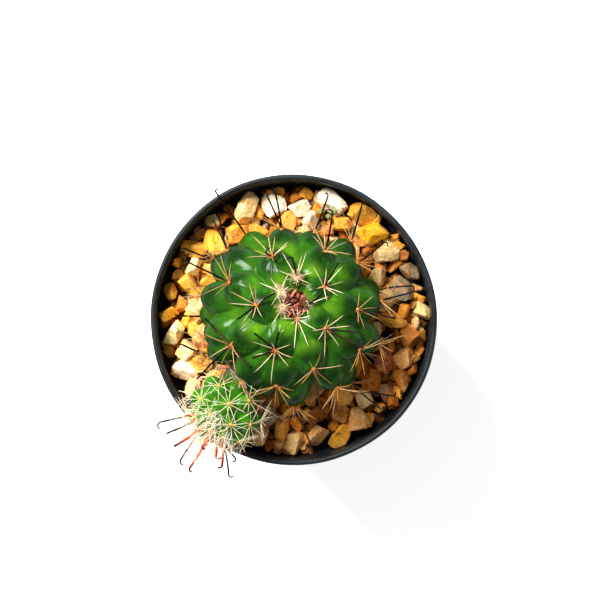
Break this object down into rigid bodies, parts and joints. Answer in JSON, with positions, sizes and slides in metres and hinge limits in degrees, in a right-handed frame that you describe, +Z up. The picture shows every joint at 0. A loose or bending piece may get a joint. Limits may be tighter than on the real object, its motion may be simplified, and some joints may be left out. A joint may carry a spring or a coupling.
{
  "type": "potted round cactus",
  "caption": "Round knobbed cactus with hooked spines and a small offset leaning over the lip, in a thin black nursery pot topped with gravel.",
  "frame": {"origin": "centre of the pot's flat underside, where it rests", "axes": "+Z up along the pot's axis; the offset leans out towards -X and -Y"},
  "size_m": [0.08, 0.0841, 0.0998],
  "materials": {
    "pot": "satin black moulded plastic",
    "potting_mix": "dark crumbly potting mix",
    "gravel": "dry angular ochre, cream and brown gravel",
    "cactus_skin": "waxy deep green plant skin, glossy",
    "papery_remains": "dry pinkish-brown papery remains",
    "young_skin": "waxy bright green young plant skin",
    "seedling": "matt olive-green seedling",
    "spine": "horny cream to orange-brown spines with dark tips",
    "dark_spine": "nearly black hooked spines",
    "felt": "woolly cream felt at the root of each spine bundle"
  },
  "bodies": {
    "root": {"pot": "pot", "potting_mix": "potting_mix", "gravel": "gravel", "cactus": "cactus_skin", "crown_tuft": "papery_remains", "pup": "young_skin", "seedling_1": "seedling", "seedling_2": "seedling", "seedling_3": "seedling", "seedling_4": "seedling"}
  },
  "joints": []
}
